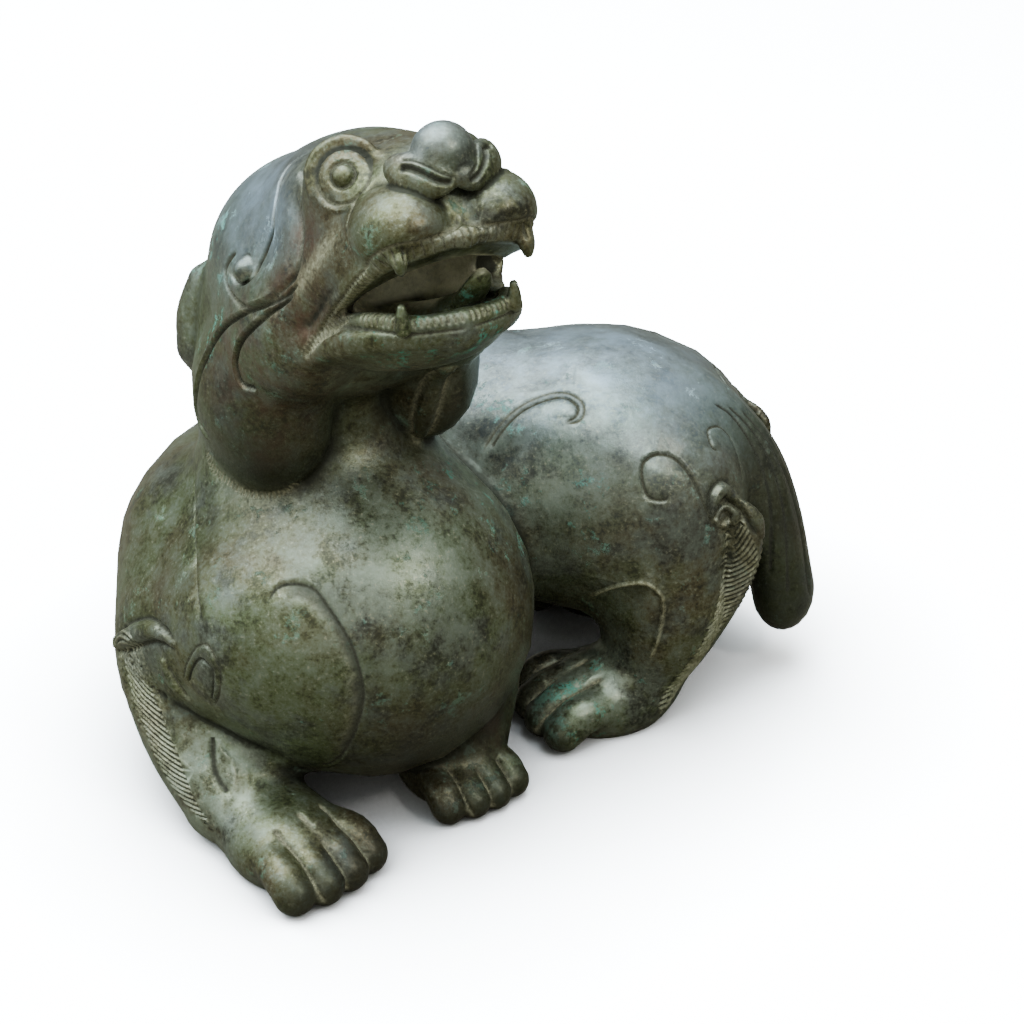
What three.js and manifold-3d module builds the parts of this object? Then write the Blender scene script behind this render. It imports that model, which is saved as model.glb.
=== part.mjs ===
// Bronze beast on four paws, one hollow casting. Millimetres, +Z up, soles on z = 0.
// The outside is one closed skin drawn round smoothly joined rounded forms.
import * as THREE from 'three';
import Module from 'manifold-3d';

const rad = Math.PI / 180;

// A section of the beast has its own axes: forward, left, up.
function section(at, yaw, pitch = 0) {
  const [y, p] = [yaw * rad, pitch * rad];
  const forward = [Math.cos(y) * Math.cos(p), Math.sin(y) * Math.cos(p), Math.sin(p)];
  const left = [-Math.sin(y), Math.cos(y), 0];
  const up = [forward[1] * left[2] - forward[2] * left[1],
    forward[2] * left[0] - forward[0] * left[2], forward[0] * left[1] - forward[1] * left[0]];
  return { at, yaw, axes: [forward, left, up] };
}
const turned = (s, v) => [0, 1, 2].map((i) => v[0] * s.axes[0][i] + v[1] * s.axes[1][i] + v[2] * s.axes[2][i]);
const placed = (s, v) => turned(s, v).map((c, i) => c + s.at[i]);

const ground = section([0, 0, 0], 0);
const chest = section([-78, -21, 105], -58);
const rump = section([64, 95, 122], 173);
const head = section([-68.8, -38.7, 330], -62.5, 20);
const sides = [1, -1];

// Where two forms meet, k is how wide the fillet between them runs.
function join(a, b, k) {
  const h = k > 0 ? Math.max(k - Math.abs(a - b), 0) / k : 0;
  return Math.min(a, b) - h * h * k * 0.25;
}

// Egg with three half sizes along a section's axes.
function egg(s, centre, half) {
  const c = placed(s, centre);
  const reach = Math.max(...half);
  const [f, l, u] = s.axes;
  return {
    low: c.map((v) => v - reach), high: c.map((v) => v + reach),
    gap(x, y, z) {
      const [dx, dy, dz] = [x - c[0], y - c[1], z - c[2]];
      const a = (dx * f[0] + dy * f[1] + dz * f[2]) / half[0];
      const b = (dx * l[0] + dy * l[1] + dz * l[2]) / half[1];
      const e = (dx * u[0] + dy * u[1] + dz * u[2]) / half[2];
      const k0 = Math.hypot(a, b, e);
      return k0 * (k0 - 1) / Math.max(Math.hypot(a / half[0], b / half[1], e / half[2]), 1e-6);
    },
  };
}

// Smooth curve through the knots, each knot being x, y, z and a radius.
function curve(knots, steps) {
  if (steps < 2) return knots;
  const mirror = (a, b) => a.map((v, i) => 2 * v - b[i]);
  const p = [mirror(knots[0], knots[1]), ...knots, mirror(knots.at(-1), knots.at(-2))];
  const out = [];
  for (let i = 1; i < p.length - 2; i++) {
    for (let n = 0; n < steps; n++) {
      const t = n / steps;
      out.push(p[i].map((b, j) => 0.5 * (2 * b + (p[i + 1][j] - p[i - 1][j]) * t
        + (2 * p[i - 1][j] - 5 * b + 4 * p[i + 1][j] - p[i + 2][j]) * t * t
        + (3 * b - p[i - 1][j] - 3 * p[i + 1][j] + p[i + 2][j]) * t ** 3)));
    }
  }
  out.push(knots.at(-1));
  return out;
}

// Round limb of changing thickness; flat squeezes it along one axis of the section.
function limb(s, knots, { steps = 4, flat = null, squeeze = 1 } = {}) {
  const q = curve(knots.map((k) => [...placed(s, k), k[3]]), steps);
  const axis = flat ? turned(s, flat) : [0, 0, 0];
  const g = 1 / squeeze - 1;
  const stretch = (x, y, z) => {
    const d = (x * axis[0] + y * axis[1] + z * axis[2]) * g;
    return [x + d * axis[0], y + d * axis[1], z + d * axis[2]];
  };
  const m = q.map((k) => [...stretch(k[0], k[1], k[2]), k[3]]);
  return {
    low: [0, 1, 2].map((i) => Math.min(...q.map((k) => k[i] - k[3]))),
    high: [0, 1, 2].map((i) => Math.max(...q.map((k) => k[i] + k[3]))),
    gap(x, y, z) {
      const [px, py, pz] = stretch(x, y, z);
      let best = 1e9;
      for (let i = 0; i < m.length - 1; i++) {
        const [a, b] = [m[i], m[i + 1]];
        const [ex, ey, ez] = [b[0] - a[0], b[1] - a[1], b[2] - a[2]];
        const [wx, wy, wz] = [px - a[0], py - a[1], pz - a[2]];
        const t = Math.min(1, Math.max(0, (wx * ex + wy * ey + wz * ez) / Math.max(ex * ex + ey * ey + ez * ez, 1e-9)));
        const d = Math.hypot(wx - t * ex, wy - t * ey, wz - t * ez) - (a[3] + t * (b[3] - a[3]));
        if (d < best) best = d;
      }
      return best / (1 + g * 0.5);
    },
  };
}

// Wedge between two planes through a section, given by their lines seen from the side.
function wedge(s, lines, bound, k) {
  const planes = lines.map(([a, b, under]) => {
    const length = Math.hypot(b[0] - a[0], b[1] - a[1]) * under;
    const n = turned(s, [-(b[1] - a[1]) / length, 0, (b[0] - a[0]) / length]);
    const at = placed(s, [a[0], 0, a[1]]);
    return { n, off: n[0] * at[0] + n[1] * at[1] + n[2] * at[2] };
  });
  return {
    low: bound.low, high: bound.high,
    gap(x, y, z) {
      let f = bound.gap(x, y, z);
      for (const { n, off } of planes) f = -join(-f, off - (n[0] * x + n[1] * y + n[2] * z), k);
      return f;
    },
  };
}

// Joins a list of forms in turn; those too far from the point to matter are passed over.
function blend(members, x, y, z, near) {
  let f = 1e3;
  for (const { form, k, sign } of members) {
    const e = near + k;
    if (x < form.low[0] - e || x > form.high[0] + e || y < form.low[1] - e || y > form.high[1] + e
      || z < form.low[2] - e || z > form.high[2] + e) continue;
    const g = form.gap(x, y, z);
    f = sign > 0 ? join(f, g, k) : -join(-f, g, k);
  }
  return f;
}

// Forms that flow into each other before they meet the rest.
function cluster(members) {
  const solid = members.filter(({ sign }) => sign > 0);
  return {
    low: [0, 1, 2].map((i) => Math.min(...solid.map(({ form }) => form.low[i])) - 10),
    high: [0, 1, 2].map((i) => Math.max(...solid.map(({ form }) => form.high[i])) + 10),
    gap: (x, y, z) => blend(members, x, y, z, 40),
  };
}

const forms = [];
const add = (form, k, group = forms) => group.push({ form, k, sign: 1 });
const carve = (form, k, group = forms) => group.push({ form, k, sign: -1 });

// Trunk: round chest, a curved barrel and the rump.
add(egg(chest, [0, 0, 0], [90, 90, 90]), 0);
add(limb(ground, [[-95, 5, 104, 80], [-137, 34, 98, 80], [-124, 82, 102, 72], [-72, 114, 110, 70],
  [-16, 112, 118, 76], [34, 98, 121, 75], [50, 90, 119, 72]], { steps: 6 }), 20);
add(egg(rump, [5, 0, 3], [78, 74, 74]), 20);
add(limb(ground, [[-100, 8, 150, 68], [-107, 16, 200, 57], [-109, 18, 240, 55], [-98, 6, 290, 54]]), 18);

// Paw: a low pad with four thick toes.
function paw(s, at, yaw, size) {
  const base = placed(s, [...at, 0]);
  const own = section([base[0], base[1], 0], s.yaw + yaw);
  const k = (values) => values.map((v) => v * size);
  add(egg(own, k([-8, 0, 13]), k([38, 31, 24])), 12);
  for (const toe of [-1.5, -0.5, 0.5, 1.5]) {
    const side = toe * 15.5;
    const short = Math.abs(toe);
    add(limb(own, [k([-4, side * 0.8, 18, 10]), k([20 - 2 * short, side, 18, 11]),
      k([34 - 4 * short, side * 1.04, 11, 11])]), 2.5);
  }
}

// Fore legs, the right one with its fringe down the back of the forearm.
add(limb(chest, [[6, -54, 10, 50], [-52, -79, -28, 37], [-32, -88, -60, 31], [8, -88, -84, 27]]), 32);
paw(ground, [-112, -109], -46, 1.0);
add(limb(chest, [[10, 30, 0, 46], [-8, 62, -30, 36], [14, 56, -60, 27], [34, 42, -84, 21]]), 16);
paw(ground, [-31, -39], -54, 0.86);
const thin = { flat: [0, 1, 0], squeeze: 0.5 };
add(limb(chest, [[-62, -98, -22, 8], [-80, -100, -42, 12], [-79, -101, -62, 13], [-60, -101, -76, 13],
  [-30, -100, -87, 10], [2, -99, -97, 5]], thin), 5);

// Hind legs with a fringe behind each hock.
for (const s of sides) {
  add(egg(rump, [18, s * 40, 6], [80, 40, 62]), 14);
  add(limb(rump, [[-22, s * 38, 6, 40], [-28, s * 52, -46, 35], [-20, s * 56, -84, 26], [-8, s * 58, -104, 20]]), 20);
  add(limb(rump, [[-58, s * 56, 16, 6], [-70, s * 57, 4, 8], [-71, s * 57, -14, 9], [-64, s * 57, -40, 9],
    [-52, s * 57, -68, 8], [-38, s * 57, -94, 6], [-26, s * 57, -114, 4]], { flat: [0, 1, 0], squeeze: 0.6 }), 4);
}
paw(ground, [46, 30], 202, 1.04);
paw(rump, [22, -62], -8, 1.04);

// Tail hanging against the rump.
add(limb(rump, [[-20, 0, 55, 12], [-48, 0, 41, 17], [-70, 0, 12, 22], [-83, -2, -24, 24], [-94, -4, -74, 24]],
  { flat: [1, 0, 0], squeeze: 0.75 }), 8);

// Head: skull, brow and muzzle, with cheeks, brow pads and hanging jowls on both sides.
const mass = [];
const skull = egg(head, [-34, 0, -22], [57, 60, 60]);
add(skull, 20);
add(skull, 0, mass);
add(egg(head, [8, 0, 3], [62, 47, 44]), 20, mass);
add(egg(head, [52, 0, 0], [56, 44, 42]), 14, mass);
for (const s of sides) {
  add(limb(head, [[0, s * 34, -34, 26], [40, s * 32, -16, 19], [74, s * 28, -8, 13.5], [97, s * 22, -2, 12]]), 12, mass);
  add(egg(head, [46, s * 28, 18 - 4 * s], [22, 17, 18 - s]), 8, mass);
  add(egg(head, [-30, s * 40, -46], [50, 27, 34]), 16, mass);
}
add(egg(head, [-73, -43, -79], [46, 33, 50]), 15, mass);
add(egg(head, [-70, 41, -73], [44, 32, 46]), 15, mass);

// Lower jaw.
for (const s of sides) {
  add(limb(head, [[0, s * 42, -50, 14], [30, s * 42, -47, 10], [62, s * 35, -43, 9],
    [83, s * 20, -43, 9], [88, 0, -44, 9]]), 8, mass);
}
add(egg(head, [34, 0, -52], [52, 38, 14]), 8, mass);

// Open mouth, right through from side to side, and hollow within.
carve(wedge(head, [[[30, -43], [108, -7], 1], [[30, -40], [95, -37], -1]],
  egg(head, [76, 0, -28], [50, 80, 50]), 5), 4, mass);
carve(egg(head, [56, 0, -24], [42, 35, 20]), 5, mass);

// Gums, lower lip and the four fangs.
for (const s of sides) {
  add(limb(head, [[20, s * 46, -48, 2.5], [50, s * 43, -29, 4], [78, s * 39, -15, 4.5], [100, s * 29, -7, 4.5],
    [108, s * 10, -3, 4.5], [109, 0, -3, 4.5]]), 3, mass);
  add(limb(head, [[36, s * 43, -42, 3], [58, s * 38, -36, 4], [76, s * 32, -36, 4], [90, s * 20, -39, 4],
    [94, 0, -40, 4]]), 3, mass);
  add(limb(head, [[90, s * 28, -40, 3.6], [91, s * 28, -35, 3.1], [92, s * 28, -30, 2]]), 1.5, mass);
}
for (const [s, tip] of [[1, -16], [-1, -12.5]]) {
  add(limb(head, [[104, s * 31, -6, 4.6], [106, s * 31, tip + 4, 3.8], [106, s * 31, tip, 2.4]]), 1.5, mass);
}
carve(egg(head, [64, 46, -25], [33, 17, 13]), 3, mass);

// Tongue with a curled leaf at its tip.
add(limb(head, [[10, 0, -52, 14], [40, 0, -47, 12], [62, 5, -42, 9], [76, 9, -36, 6]]), 5, mass);
add(limb(head, [[70, 8, -38, 6], [80, 11, -33, 8], [87, 13, -27, 7], [89, 14, -22, 3]],
  { flat: [-0.6, 0, 0.8], squeeze: 0.45 }), 2, mass);

// Lip pads, nostril wings, eye bosses, the knobs of the brow scrolls and the round nose.
for (const s of sides) {
  add(wedge(head, [[[82, -20], [112, -1], -1]], egg(head, [88, s * 22, 4], [28, 22, 20]), 4), 2, mass);
}
for (const [s, wide] of [[1, 23], [-1, 19]]) {
  add(limb(head, [[94, s * wide, 30, 7], [100, s * (wide - 3.5), 27, 10], [105.5, s * 10, 25, 10], [108, s * 4, 23, 6]],
    { flat: [0.83, s * 0.5, 0.25], squeeze: 0.6 }), 1.5, mass);
}
for (const [s, drop] of [[1, 7.5], [-1, 0]]) {
  add(limb(head, [[59, s * 30.5, 28.5 - drop, 16.5], [59.5, s * 30.8, 28.6 - drop, 16.5]],
    { flat: [0.78, s * 0.56, 0.27], squeeze: 0.52 }), 2, mass);
  add(egg(head, [-17.5, s * 57, -10], [6, 7.5, 6]), 1.2, mass);
}
add(egg(head, [101, 0, 34.5], [13.2, 14.4, 13.6]), 1.5, mass);
add(cluster(mass), 4);

// Tab on each side of the nape.
for (const s of sides) {
  add(limb(head, [[-102, s * 52, -20, 9], [-111, s * 56, -36, 11], [-115, s * 56, -53, 13]]), 6);
}

// Distance to the skin of the whole beast.
const skin = (x, y, z, near) => blend(forms, x, y, z, near);

// Cells that the skin passes through, found by halving coarse ones.
const cell = 4;
const halvings = 3;
const low = [-256, -208, -16];
const span = [17, 16, 14];
let cells = [];
for (let i = 0; i < span[0]; i++) for (let j = 0; j < span[1]; j++) for (let k = 0; k < span[2]; k++) cells.push([i, j, k]);
for (let level = halvings; level >= 0; level--) {
  const size = cell * 2 ** level;
  const near = level === halvings ? 1e4 : size * 2.5;
  const reach = size * 0.87 * 1.6 + 1.5;
  const kept = cells.filter(([i, j, k]) => Math.abs(skin(low[0] + (i + 0.5) * size, low[1] + (j + 0.5) * size,
    low[2] + (k + 0.5) * size, near)) < reach);
  cells = level === 0 ? kept
    : kept.flatMap(([i, j, k]) => [0, 1, 2, 3, 4, 5, 6, 7].map((c) => [2 * i + (c & 1), 2 * j + ((c >> 1) & 1), 2 * k + (c >> 2)]));
}

// Each cell is parted into six tetrahedra, and the skin is drawn through them.
const wide = 1024;
const nodeKey = (i, j, k) => (i * wide + j) * wide + k;
const nodes = new Map();
function nodeValue(i, j, k) {
  const key = nodeKey(i, j, k);
  let v = nodes.get(key);
  if (v === undefined) {
    v = skin(low[0] + i * cell, low[1] + j * cell, low[2] + k * cell, cell * 3);
    if (Math.abs(v) < 1e-4) v = 1e-4;
    nodes.set(key, v);
  }
  return v;
}
const tetrahedra = [[0, 1, 3, 7], [0, 3, 2, 7], [0, 2, 6, 7], [0, 6, 4, 7], [0, 4, 5, 7], [0, 5, 1, 7]];
const one = [[0, 1, 2, 3], [1, 0, 3, 2], [2, 0, 1, 3], [3, 0, 2, 1]];
const two = { 3: [0, 1, 2, 3], 5: [0, 2, 3, 1], 9: [0, 3, 1, 2], 6: [1, 2, 0, 3], 10: [1, 3, 2, 0], 12: [2, 3, 0, 1] };
const points = [];
const faces = [];
const crossings = new Map();
for (const [i, j, k] of cells) {
  const corner = [0, 1, 2, 3, 4, 5, 6, 7].map((c) => [i + (c & 1), j + ((c >> 1) & 1), k + (c >> 2)]);
  const value = corner.map((c) => nodeValue(...c));
  if (value.every((v) => v > 0) || value.every((v) => v < 0)) continue;
  const cross = (a, b) => {
    const [ka, kb] = [nodeKey(...corner[a]), nodeKey(...corner[b])];
    const key = ka < kb ? `${ka},${kb}` : `${kb},${ka}`;
    if (!crossings.has(key)) {
      const t = value[a] / (value[a] - value[b]);
      points.push(corner[a].map((c, n) => low[n] + cell * (c + t * (corner[b][n] - c))));
      crossings.set(key, points.length - 1);
    }
    return crossings.get(key);
  };
  for (const tet of tetrahedra) {
    const inside = tet.map((c) => value[c] < 0);
    const mask = inside.reduce((m, v, n) => m + (v ? 1 << n : 0), 0);
    const count = inside.filter(Boolean).length;
    if (count === 1 || count === 3) {
      const [a, b, c, d] = one[inside.indexOf(count === 1)].map((n) => tet[n]);
      const face = [cross(a, b), cross(a, c), cross(a, d)];
      faces.push(count === 1 ? face : face.reverse());
    } else if (count === 2) {
      const [a, b, c, d] = two[mask].map((n) => tet[n]);
      faces.push([cross(a, c), cross(a, d), cross(b, d)], [cross(a, c), cross(b, d), cross(b, c)]);
    }
  }
}

// The skin is thinned to flat facets: the edge whose loss changes the form least goes first.
const facets = 9200;
const care = ([x, y, z]) => (z > 255 ? 5 : z < 36 ? 2 : 1);
const quadrics = points.map(() => new Float64Array(10));
const around = points.map(() => new Set());
const cross3 = (a, b, c) => {
  const [ux, uy, uz] = [b[0] - a[0], b[1] - a[1], b[2] - a[2]];
  const [vx, vy, vz] = [c[0] - a[0], c[1] - a[1], c[2] - a[2]];
  return [uy * vz - uz * vy, uz * vx - ux * vz, ux * vy - uy * vx];
};
faces.forEach((face, n) => {
  const [a, b, c] = face.map((v) => points[v]);
  const m = cross3(a, b, c);
  const area = Math.hypot(...m);
  for (const v of face) around[v].add(n);
  if (area < 1e-9) return;
  const [x, y, z] = m.map((v) => v / area);
  const w = -(x * a[0] + y * a[1] + z * a[2]);
  const p = [x * x, x * y, x * z, x * w, y * y, y * z, y * w, z * z, z * w, w * w];
  for (const v of face) p.forEach((e, q) => { quadrics[v][q] += e * area * care(points[v]); });
});
const loss = (q, [x, y, z]) => q[0] * x * x + 2 * q[1] * x * y + 2 * q[2] * x * z + 2 * q[3] * x
  + q[4] * y * y + 2 * q[5] * y * z + 2 * q[6] * y + q[7] * z * z + 2 * q[8] * z + q[9];
function bestPoint(q, a, b) {
  const det = q[0] * (q[4] * q[7] - q[5] * q[5]) - q[1] * (q[1] * q[7] - q[5] * q[2]) + q[2] * (q[1] * q[5] - q[4] * q[2]);
  const middle = a.map((v, i) => (v + b[i]) / 2);
  const choices = [a, b, middle];
  if (Math.abs(det) > 1e-3 * (q[0] + q[4] + q[7]) ** 3 * 1e-2) {
    const [rx, ry, rz] = [-q[3], -q[6], -q[8]];
    const p = [
      (rx * (q[4] * q[7] - q[5] * q[5]) - q[1] * (ry * q[7] - q[5] * rz) + q[2] * (ry * q[5] - q[4] * rz)) / det,
      (q[0] * (ry * q[7] - q[5] * rz) - rx * (q[1] * q[7] - q[5] * q[2]) + q[2] * (q[1] * rz - ry * q[2])) / det,
      (q[0] * (q[4] * rz - ry * q[5]) - q[1] * (q[1] * rz - ry * q[2]) + rx * (q[1] * q[5] - q[4] * q[2])) / det];
    const far = Math.hypot(a[0] - b[0], a[1] - b[1], a[2] - b[2]);
    if (Math.hypot(p[0] - middle[0], p[1] - middle[1], p[2] - middle[2]) < far * 1.5) choices.push(p);
  }
  let best = null;
  for (const p of choices) {
    const e = loss(q, p);
    if (!best || e < best.e) best = { e, p };
  }
  return best;
}
const heap = [];
function push(item) {
  let i = heap.push(item) - 1;
  while (i > 0) {
    const up = (i - 1) >> 1;
    if (heap[up].e <= item.e) break;
    heap[i] = heap[up];
    i = up;
  }
  heap[i] = item;
}
function pop() {
  const top = heap[0];
  const item = heap.pop();
  if (heap.length) {
    let i = 0;
    for (;;) {
      let down = 2 * i + 1;
      if (down >= heap.length) break;
      if (down + 1 < heap.length && heap[down + 1].e < heap[down].e) down++;
      if (heap[down].e >= item.e) break;
      heap[i] = heap[down];
      i = down;
    }
    heap[i] = item;
  }
  return top;
}
const stamp = new Int32Array(points.length);
const neighbours = (v) => {
  const out = new Set();
  for (const n of around[v]) for (const w of faces[n]) if (w !== v) out.add(w);
  return out;
};
function offer(a, b) {
  const q = quadrics[a].map((v, i) => v + quadrics[b][i]);
  const { e, p } = bestPoint(q, points[a], points[b]);
  const far = (points[a][0] - points[b][0]) ** 2 + (points[a][1] - points[b][1]) ** 2 + (points[a][2] - points[b][2]) ** 2;
  push({ e: Math.max(e, 0) + far * 0.02 * care(p), p, a, b, sa: stamp[a], sb: stamp[b] });
}
for (let v = 0; v < points.length; v++) for (const w of neighbours(v)) if (w > v) offer(v, w);
let left = faces.length;
while (left > facets && heap.length) {
  const { p, a, b, sa, sb } = pop();
  if (stamp[a] !== sa || stamp[b] !== sb || !around[a].size || !around[b].size) continue;
  const [na, nb] = [neighbours(a), neighbours(b)];
  const shared = [...na].filter((v) => nb.has(v));
  const gone = [...around[a]].filter((n) => around[b].has(n));
  if (shared.length !== 2 || gone.length !== 2 || na.size + nb.size < 9) continue;
  const turns = [a, b].some((v) => [...around[v]].some((n) => {
    if (gone.includes(n)) return false;
    const was = cross3(...faces[n].map((w) => points[w]));
    const now = cross3(...faces[n].map((w) => (w === v ? p : points[w])));
    const [lw, ln] = [Math.hypot(...was), Math.hypot(...now)];
    if (ln < 1e-3) return true;
    return lw > 1e-3 && (was[0] * now[0] + was[1] * now[1] + was[2] * now[2]) < 0.25 * lw * ln;
  }));
  if (turns) continue;
  points[a] = p;
  quadrics[b].forEach((v, i) => { quadrics[a][i] += v; });
  for (const n of gone) for (const w of faces[n]) around[w].delete(n);
  for (const n of around[b]) {
    faces[n] = faces[n].map((w) => (w === b ? a : w));
    around[a].add(n);
  }
  around[b].clear();
  for (const n of gone) faces[n] = null;
  left -= 2;
  stamp[a]++;
  stamp[b]++;
  for (const w of neighbours(a)) offer(a, w);
}

// The soles are cut flat on the ground.
const wasm = await Module();
wasm.setup();
const kept = faces.filter(Boolean);
const used = [...new Set(kept.flat())];
const index = new Map(used.map((v, n) => [v, n]));
const whole = new wasm.Manifold(new wasm.Mesh({
  numProp: 3,
  vertProperties: Float32Array.from(used.flatMap((v) => points[v])),
  triVerts: Uint32Array.from(kept.flat().map((v) => index.get(v))),
}));
const cut = whole.trimByPlane([0, 0, 1], 0).getMesh();

// The facets stand with the middle of their extents over the origin.
const spots = Array.from(cut.vertProperties);
const middle = [0, 1, 2].map((i) => {
  const row = spots.filter((_, n) => n % 3 === i);
  return i < 2 ? (Math.min(...row) + Math.max(...row)) / 2 : 0;
});
const geometry = new THREE.BufferGeometry();
geometry.setAttribute('position', new THREE.Float32BufferAttribute(spots.map((v, n) => v - middle[n % 3]), 3));
geometry.setIndex(Array.from(cut.triVerts));
geometry.computeVertexNormals();

const bronze = new THREE.MeshStandardMaterial({ name: 'bronze', color: 0x5d6250, metalness: 0.8, roughness: 0.5 });
const figure = new THREE.Mesh(geometry, bronze);
figure.name = 'beast_figure';

const beast = new THREE.Group();
beast.name = 'bronze_beast';
beast.add(figure);

export default beast;
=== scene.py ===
import math
from concurrent.futures import ThreadPoolExecutor

import bpy
import numpy as np
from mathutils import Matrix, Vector
from mathutils.kdtree import KDTree


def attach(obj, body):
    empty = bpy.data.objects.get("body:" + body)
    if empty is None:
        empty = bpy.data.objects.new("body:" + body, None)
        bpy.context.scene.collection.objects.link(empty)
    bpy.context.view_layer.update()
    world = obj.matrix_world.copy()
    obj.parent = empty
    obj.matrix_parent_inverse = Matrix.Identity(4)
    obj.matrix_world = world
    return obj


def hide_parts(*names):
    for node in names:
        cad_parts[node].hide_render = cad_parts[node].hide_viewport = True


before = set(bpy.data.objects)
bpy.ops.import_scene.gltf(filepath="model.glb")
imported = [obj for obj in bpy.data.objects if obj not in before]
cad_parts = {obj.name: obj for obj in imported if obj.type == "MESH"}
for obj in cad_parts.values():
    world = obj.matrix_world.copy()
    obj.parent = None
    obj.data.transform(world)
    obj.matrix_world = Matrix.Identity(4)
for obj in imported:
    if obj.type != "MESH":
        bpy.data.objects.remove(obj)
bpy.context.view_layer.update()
mm = 0.001
helpers = ThreadPoolExecutor(4)
print("stage: frame loaded")


# Sections of the beast, each with its own axes: forward, left, up. Millimetres.
castMiddle = np.array([-20.87, 22.84, 0.0])  # what the model frame calls x 0, y 0


def axesOf(yaw, pitch=0.0):
    y, p = math.radians(yaw), math.radians(pitch)
    forward = np.array([math.cos(y) * math.cos(p), math.sin(y) * math.cos(p), math.sin(p)])
    left = np.array([-math.sin(y), math.cos(y), 0.0])
    return np.stack([forward, left, np.cross(forward, left)])


class Section:
    def __init__(self, at, yaw, pitch=0.0):
        self.at = np.array(at, float) - castMiddle
        self.yaw = yaw
        self.axes = axesOf(yaw, pitch)

    def out(self, v):
        return self.at + np.asarray(v, float) @ self.axes

    def into(self, p):
        return (np.asarray(p, float) - self.at) @ self.axes.T

    def standing(self, at, turn):  # a section on the ground below a point of this one
        base = self.out((at[0], at[1], 0.0))
        return Section((base[0] + castMiddle[0], base[1] + castMiddle[1], 0.0), self.yaw + turn)


ground = Section((0, 0, 0), 0)
chest = Section((-78, -21, 105), -58)
rump = Section((64, 95, 122), 173)
head = Section((-68.8, -38.7, 330), -62.5, 20)
sides = (1, -1)


# Rounded forms, and how they join
def join(a, b, k):  # k is how wide the fillet between two forms runs
    if k <= 0:
        return np.minimum(a, b)
    h = np.maximum(k - np.abs(a - b), 0) / k
    return np.minimum(a, b) - h * h * k * 0.25


def curve(knots, steps):  # smooth line through the knots
    p = np.asarray(knots, float)
    p = np.vstack([2 * p[0] - p[1], p, 2 * p[-1] - p[-2]])
    out = []
    for i in range(1, len(p) - 2):
        a, b, c, d = p[i - 1:i + 3]
        for t in np.arange(steps) / steps:
            out.append(0.5 * (2 * b + (c - a) * t + (2 * a - 5 * b + 4 * c - d) * t ** 2
                              + (3 * b - a - 3 * c + d) * t ** 3))
    return np.array(out + [p[-2]])


class Egg:
    def __init__(self, s, centre, half):
        self.centre, self.half, self.axes = s.out(centre), np.array(half, float), s.axes
        self.low, self.high = self.centre - max(half), self.centre + max(half)

    def gap(self, p):
        a = (p - self.centre) @ self.axes.T / self.half
        k0 = np.sqrt((a * a).sum(1))
        a = a / self.half
        return k0 * (k0 - 1) / np.maximum(np.sqrt((a * a).sum(1)), 1e-6)


class Limb:
    def __init__(self, s, knots, steps=5, flat=None, squeeze=1.0):
        k = np.array(knots, float)
        q = curve(np.hstack([s.out(k[:, :3]), k[:, 3:]]), steps)
        self.low, self.high = (q[:, :3] - q[:, 3:]).min(0), (q[:, :3] + q[:, 3:]).max(0)
        self.grow = 1 / squeeze - 1
        self.axis = np.zeros(3) if flat is None else np.array(flat, float) @ s.axes
        line = self.stretched(q[:, :3])
        self.start, self.step = line[:-1], line[1:] - line[:-1]
        self.length2 = np.maximum((self.step ** 2).sum(1), 1e-9)
        self.radius, self.taper = q[:-1, 3], np.diff(q[:, 3])

    def stretched(self, p):
        return p + np.outer(p @ self.axis, self.axis) * self.grow if self.grow else p

    def gap(self, p):
        p = self.stretched(p)
        along = p @ self.step.T - (self.start * self.step).sum(1)
        t = np.clip(along / self.length2, 0, 1)
        away = (p * p).sum(1)[:, None] - 2 * p @ self.start.T + (self.start ** 2).sum(1)
        away = np.sqrt(np.maximum(away - 2 * t * along + t * t * self.length2, 0))
        return (away - self.radius - t * self.taper).min(1) / (1 + self.grow * 0.5)


class Wedge:  # space between two planes through a section, seen from its side
    def __init__(self, s, lines, bound, k):
        self.low, self.high, self.bound, self.k, self.planes = bound.low, bound.high, bound, k, []
        for a, b, under in lines:
            length = math.hypot(b[0] - a[0], b[1] - a[1]) * under
            normal = np.array([-(b[1] - a[1]) / length, 0, (b[0] - a[0]) / length]) @ s.axes
            self.planes.append((normal, normal @ s.out((a[0], 0, a[1]))))

    def gap(self, p):
        f = self.bound.gap(p)
        for normal, offset in self.planes:
            f = -join(-f, offset - p @ normal, self.k)
        return f


class Cluster:  # forms that flow into each other before they meet the rest
    def __init__(self, members):
        self.members = members
        self.low = np.min([form.low for form, k, sign in members if sign > 0], 0) - 10
        self.high = np.max([form.high for form, k, sign in members if sign > 0], 0) + 10

    def gap(self, p):
        return blend(self.members, p, 40.0)


def blend(members, p, near):  # forms too far from these points to matter are passed over
    low, high = p.min(0), p.max(0)
    f = np.full(len(p), 1e3)
    for form, k, sign in members:
        e = near + k
        if (form.low - e > high).any() or (form.high + e < low).any():
            continue
        g = form.gap(p)
        f = join(f, g, k) if sign > 0 else -join(-f, g, k)
    return f


forms = []
paws = []


def add(form, k, group=forms):
    group.append((form, k, 1))


def carve(form, k, group=forms):
    group.append((form, k, -1))


def addPaw(s, at, turn, size):
    own = s.standing(at, turn)
    paws.append((own, size))
    add(Egg(own, np.array([-8, 0, 13]) * size, np.array([38, 31, 24]) * size), 12)
    for toe in (-1.5, -0.5, 0.5, 1.5):
        side, short = toe * 15.5, abs(toe)
        add(Limb(own, np.array([[-4, side * 0.8, 18, 10], [20 - 2 * short, side, 18, 11],
                                [34 - 4 * short, side * 1.04, 11, 11]]) * size), 2.5)


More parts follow.
